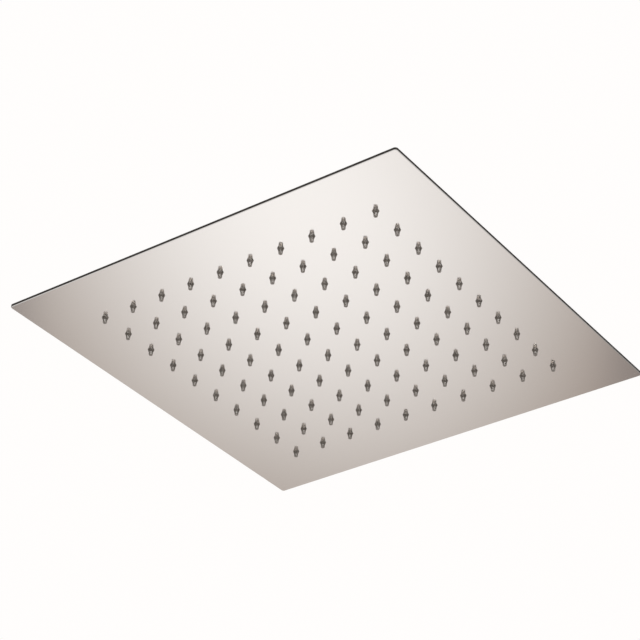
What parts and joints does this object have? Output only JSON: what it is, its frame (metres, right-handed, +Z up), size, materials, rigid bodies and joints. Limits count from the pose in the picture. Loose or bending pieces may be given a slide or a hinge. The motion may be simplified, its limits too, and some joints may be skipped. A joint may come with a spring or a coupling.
{
  "type": "rain shower head",
  "caption": "Thin square rain shower head of polished steel with rows of soft nozzles, on a swivelling ball inlet with a half inch pipe thread.",
  "frame": {"origin": "middle of the inlet's mouth, where the supply pipe screws in", "axes": "+Z up along the inlet, out of its mouth; X and Y along the sides of the head; the nozzles point to -Z"},
  "size_m": [0.3, 0.3, 0.0627],
  "materials": {
    "polished_steel": "polished",
    "grey_silicone": "satin",
    "turned_steel": "satin",
    "plated_brass": "polished",
    "white_plastic": "matte",
    "black_rubber": "matte"
  },
  "bodies": {
    "inlet": {"ball_inlet": "plated_brass", "inlet_gasket": "black_rubber", "filter_screen": "turned_steel", "flow_regulator": "white_plastic"},
    "liner": {"swivel_liner": "white_plastic"},
    "seal": {"ball_seal": "black_rubber"},
    "head": {"face_plate": "polished_steel", "back_plate": "polished_steel", "nozzle_mat": "grey_silicone", "swivel_socket": "turned_steel", "collar_nut": "plated_brass"}
  },
  "joints": [
    {"name": "tilt_about_x", "type": "hinge", "parent": "inlet", "child": "liner", "pos_m": [0, 0, -0.03651], "axis": [1, 0, 0], "range_deg": [-15, 15]},
    {"name": "tilt_about_y", "type": "hinge", "parent": "liner", "child": "seal", "pos_m": [0, 0, -0.03651], "axis": [0, 1, 0], "range_deg": [-15, 15]},
    {"name": "turn", "type": "hinge", "parent": "seal", "child": "head", "pos_m": [0, 0, -0.03651], "axis": [0, 0, 1], "continuous": true}
  ]
}
